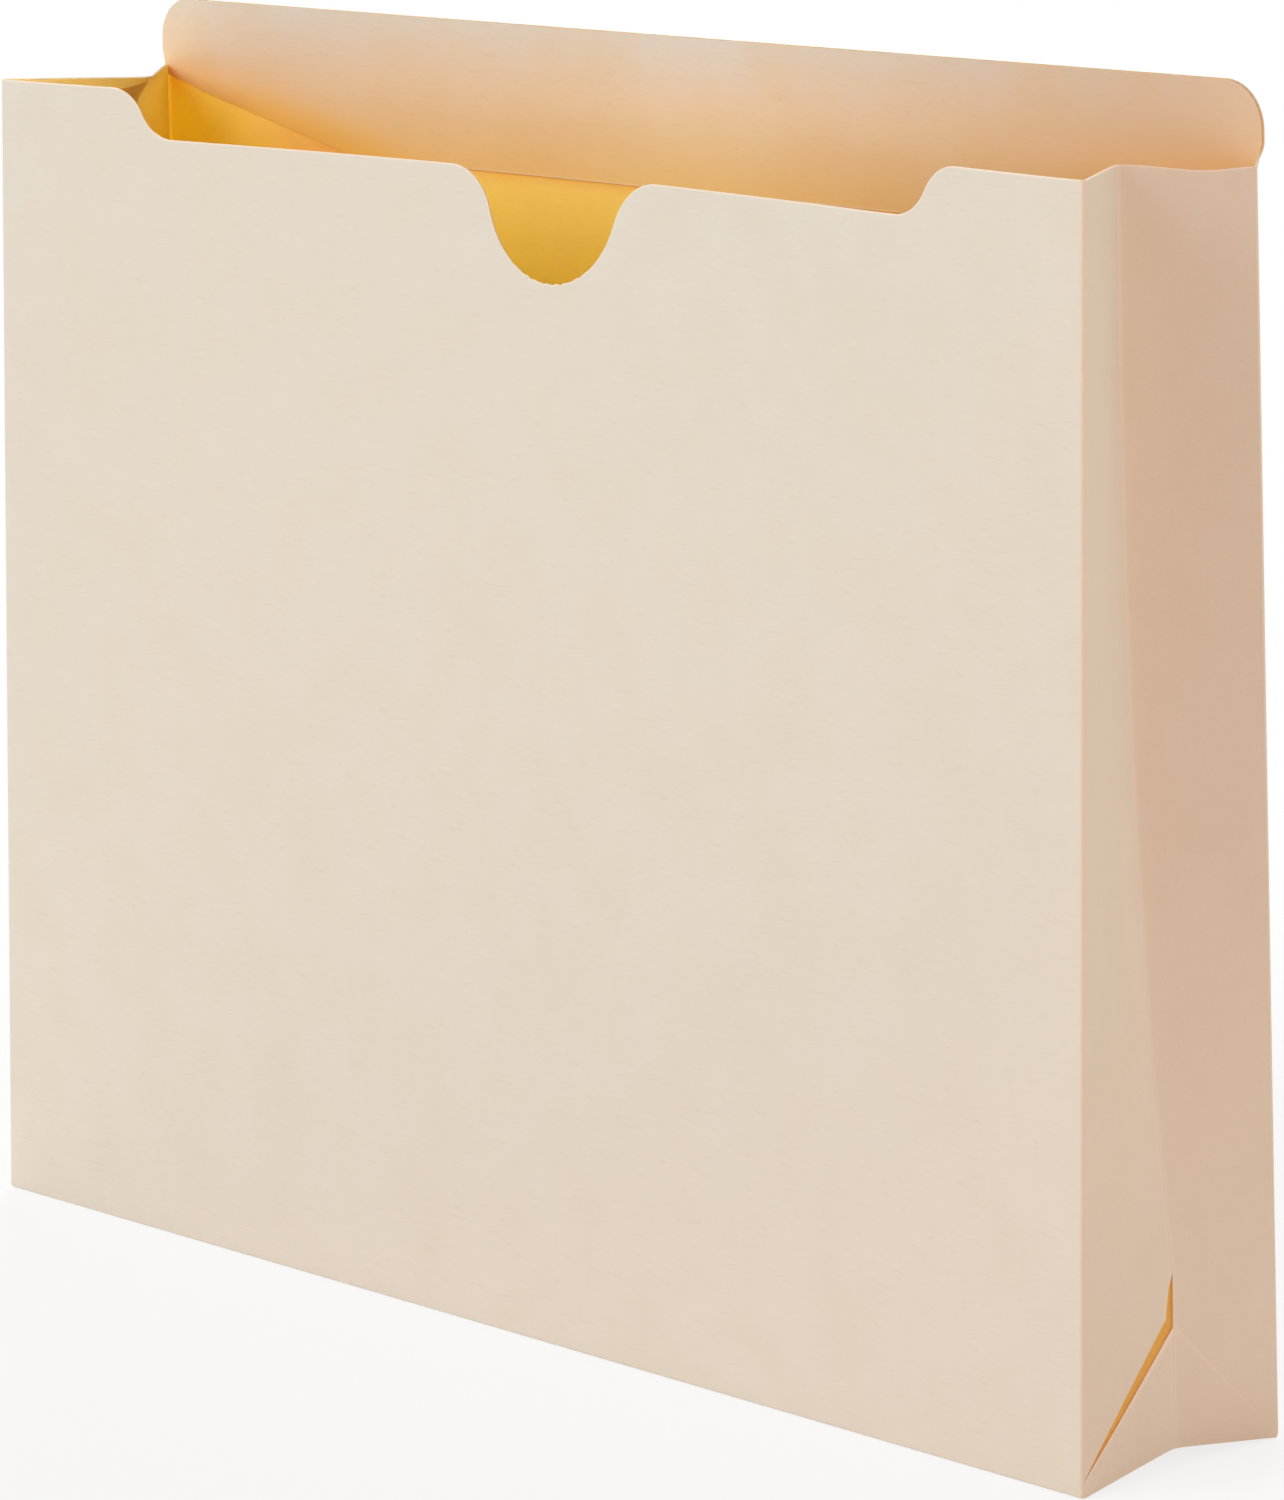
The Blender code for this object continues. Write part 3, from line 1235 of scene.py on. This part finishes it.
        part = face.name.lower()
        self.sheet(f"{part}_web", f"{part}_gusset", spread(0.0, CREASE_END, columns),
                   spread(0.0, 1.0, rows), lay, lambda w, t: edge * float(t == 1.0),
                   lambda w, t: self.glow(face, w))

    def build_flap(self) -> None:
        """Model the flap inside the front half. Its foot backs the slit, and its head is tapered."""
        form = self.form
        far = 1 - self.flap_width / self.half_width
        lap = 1 + self.flap_lap / self.half_width
        depth = form.creases.stock + self.flap_room

        def lay(u: float, t: float) -> Vector:
            """Put a station of the grid in its place.

            Args:
                u: From 0 at the flap's free edge to 1 past the middle crease.
                t: From 0 at its foot to 1 at its head.

            Returns:
                The place.
            """
            at_foot = self.flap_toe + (lap - self.flap_toe) * u
            at_head = far + (lap - far) * u
            w = at_foot + (at_head - at_foot) * smooth(0.0, self.flap_waist, t)
            low = self.mitre(Face.FRONT, min(at_foot, 1.0)) - self.flap_cover
            high = form.creases.mouth - self.flap_clear - self.flap_taper * (1 - u)
            z = low + (high - low) * t
            ahead = form.gusset(self.side, Face.FRONT, w + self.probe, z)
            behind = form.gusset(self.side, Face.FRONT, w - self.probe, z)
            along = (ahead - behind).normalized()
            inward = Vector((-along.y, along.x, 0)) * self.side.value
            return form.gusset(self.side, Face.FRONT, w, z) + inward * depth

        across, up = (spread(0.0, 1.0, steps) for steps in self.flap_grid)
        self.sheet("glue_flap", "front_gusset", across, up, lay,
                   finishes=(GLUE_FLAP, GLUE_FLAP, GLUE_FLAP))


@dataclass
class Bottom:
    """The bottom: two halves that meet at a raised crease."""

    form: Form
    end_gap: float = 0.00035
    # How far a half runs in behind the panel's fold, as a share of its width.
    tuck: float = 0.004
    # Share of the fold's tone along the crease: rubbed wear with a painted highlight.
    crease_wear_and_highlight: float = 0.8
    wear_band: tuple[float, float] = (0.94, 0.995)
    columns: int = 80
    rows: tuple[int, int] = (18, 10)

    def build(self) -> None:
        """Model both halves."""
        for face in Face:
            word = f"bottom_{face.name.lower()}"
            Sheet(
                name=f"{word}_board", node=word, body=word,
                across=spread(-1.0, 1.0, self.columns),
                up=up_to_crease(-self.tuck, *self.rows),
                lay=lambda u, w, face=face: self.form.bottom(face, u, w, self.end_gap),
                outward=Vector((0, 0, -1)), stock=self.form.creases.stock,
                folded=lambda u, w: self.crease_wear_and_highlight * smooth(*self.wear_band, w),
            ).build()


@dataclass(frozen=True)
class Lamp:
    """One soft box of the studio."""

    name: str
    place: tuple[float, float, float]
    size: float
    watts: float
    colour: str

    def build(self, target: Vector) -> None:
        """Hang the lamp and aim it.

        Args:
            target: Point that it lights.
        """
        data = bpy.data.lights.new(self.name, "AREA")
        data.shape = "DISK"
        data.size = self.size
        data.energy = self.watts
        data.color = linear(self.colour)[:3]
        lamp = bpy.data.objects.new(self.name, data)
        lamp.location = self.place
        lamp.rotation_euler = (target - lamp.location).to_track_quat("-Z", "Y").to_euler()
        lamp.visible_camera = False
        bpy.context.scene.collection.objects.link(lamp)


@dataclass(frozen=True)
class Studio:
    """Floor, light and camera: a white table under soft light, seen from the front right."""

    camera_place: tuple[float, float, float] = (0.8895, -0.8171, 0.3446)
    # Turn, tilt and roll in degrees.
    camera_turn: float = 46.95
    camera_tilt: float = 9.78
    camera_roll: float = -0.77
    lens_mm: float = 156.45
    sensor_mm: float = 36.0
    shift: float = -0.1
    view_limit: float = 50.0
    floor_size: float = 24.0
    floor_gap: float = 0.0002
    floor_colour: str = "F4F2EF"
    # How white the floor looks at the jacket, and the distances over which it turns white.
    white_near: float = 0.80
    white_reach: tuple[float, float] = (0.22, 0.60)
    ambient: float = 0.25
    lamp_target: tuple[float, float, float] = (0.0, 0.0, 0.12)
    lamps: tuple[Lamp, ...] = (
        Lamp("key_lamp", (-0.85, -2.1, 1.6), 2.1, 48.0, "EEF7FF"),
        Lamp("side_lamp", (1.2, -0.45, 0.45), 0.5, 3.7, "FFB888"),
        Lamp("right_back_lamp", (0.9, 1.3, 1.0), 0.9, 7.2, "F4FFFD"),
        Lamp("left_back_lamp", (-0.95, 1.05, 0.8), 0.9, 14.5, "FFFCF6"),
    )

    def build(self) -> None:
        """Set up the floor, the lamps, the world and the camera."""
        bpy.context.scene.view_settings.view_transform = "Standard"
        self.build_floor()
        self.build_world()
        for lamp in self.lamps:
            lamp.build(Vector(self.lamp_target))
        self.build_camera()

    def seen_directly(self, tree: bpy.types.NodeTree) -> bpy.types.NodeSocket:
        """Tell the rays that see white surroundings from those that carry light.

        Args:
            tree: Node tree that takes the nodes.

        Returns:
            A socket that is 1 for a ray that sees white.
        """
        path = add_node(tree, "ShaderNodeLightPath")
        kinds = [path.outputs[ray.value] for ray in Ray]
        total = kinds[0]
        for kind in kinds[1:]:
            total = add_node(tree, "ShaderNodeMath", {"operation": "MAXIMUM"}, {
                0: total, 1: kind}).outputs["Value"]
        return total

    def build_floor(self) -> None:
        """Lay a matt white floor that shows a soft shadow on white."""
        bpy.ops.object.select_all(action="DESELECT")
        bpy.ops.mesh.primitive_plane_add(size=self.floor_size, location=(0, 0, -self.floor_gap))
        floor = bpy.context.object
        floor.name = "floor"
        material = bpy.data.materials.new("matt_floor")
        material.use_nodes = True
        tree = material.node_tree
        tree.nodes.clear()
        matt = add_node(tree, "ShaderNodeBsdfDiffuse", inputs={"Color": linear(self.floor_colour)})
        white = add_node(tree, "ShaderNodeEmission", inputs={"Strength": 1.0})
        place = add_node(tree, "ShaderNodeTexCoord").outputs["Object"]
        distance = add_node(tree, "ShaderNodeVectorMath", {"operation": "LENGTH"}, {0: place})
        whiteness = add_node(tree, "ShaderNodeMapRange", {"interpolation_type": "SMOOTHSTEP"}, {
            "Value": distance.outputs["Value"], "From Min": self.white_reach[0],
            "From Max": self.white_reach[1], "To Min": self.white_near}).outputs["Result"]
        share = add_node(tree, "ShaderNodeMath", {"operation": "MULTIPLY"}, {
            0: self.seen_directly(tree), 1: whiteness}).outputs["Value"]
        both = add_node(tree, "ShaderNodeMixShader", inputs={
            0: share, 1: matt.outputs[0], 2: white.outputs[0]})
        add_node(tree, "ShaderNodeOutputMaterial", inputs={"Surface": both.outputs[0]})
        floor.data.materials.append(material)

    def build_world(self) -> None:
        """Surround the scene with even light that looks white where it is seen."""
        world = bpy.data.worlds.new("studio")
        bpy.context.scene.world = world
        world.use_nodes = True
        tree = world.node_tree
        tree.nodes.clear()
        strength = add_node(tree, "ShaderNodeMapRange", inputs={
            "Value": self.seen_directly(tree), "To Min": self.ambient, "To Max": 1.0})
        light = add_node(tree, "ShaderNodeBackground", inputs={
            "Color": (1, 1, 1, 1), "Strength": strength.outputs["Result"]})
        add_node(tree, "ShaderNodeOutputWorld", inputs={"Surface": light.outputs[0]})

    def build_camera(self) -> None:
        """Set the camera at the photograph's view."""
        data = bpy.data.cameras.new("camera")
        data.sensor_fit = "AUTO"
        data.sensor_width = self.sensor_mm
        data.lens = self.lens_mm
        data.shift_y = self.shift
        data.clip_end = self.view_limit
        camera = bpy.data.objects.new("camera", data)
        camera.location = self.camera_place
        aim = Euler((math.radians(90 - self.camera_tilt), 0.0, math.radians(self.camera_turn)))
        roll = Matrix.Rotation(math.radians(self.camera_roll), 3, "Z")
        camera.rotation_euler = (aim.to_matrix() @ roll).to_euler()
        bpy.context.scene.collection.objects.link(camera)
        bpy.context.scene.camera = camera


def main() -> None:
    """Build the jacket, its floor, its light and its camera."""
    logging.basicConfig(level=logging.INFO)
    form = Form(Creases.from_frame(), Stance())
    FrontPanel(form).build()
    RearPanel(form).build()
    for side in Side:
        SideGusset(form, side).build()
    Bottom(form).build()
    Studio().build()


if __name__ == "__main__":
    main()
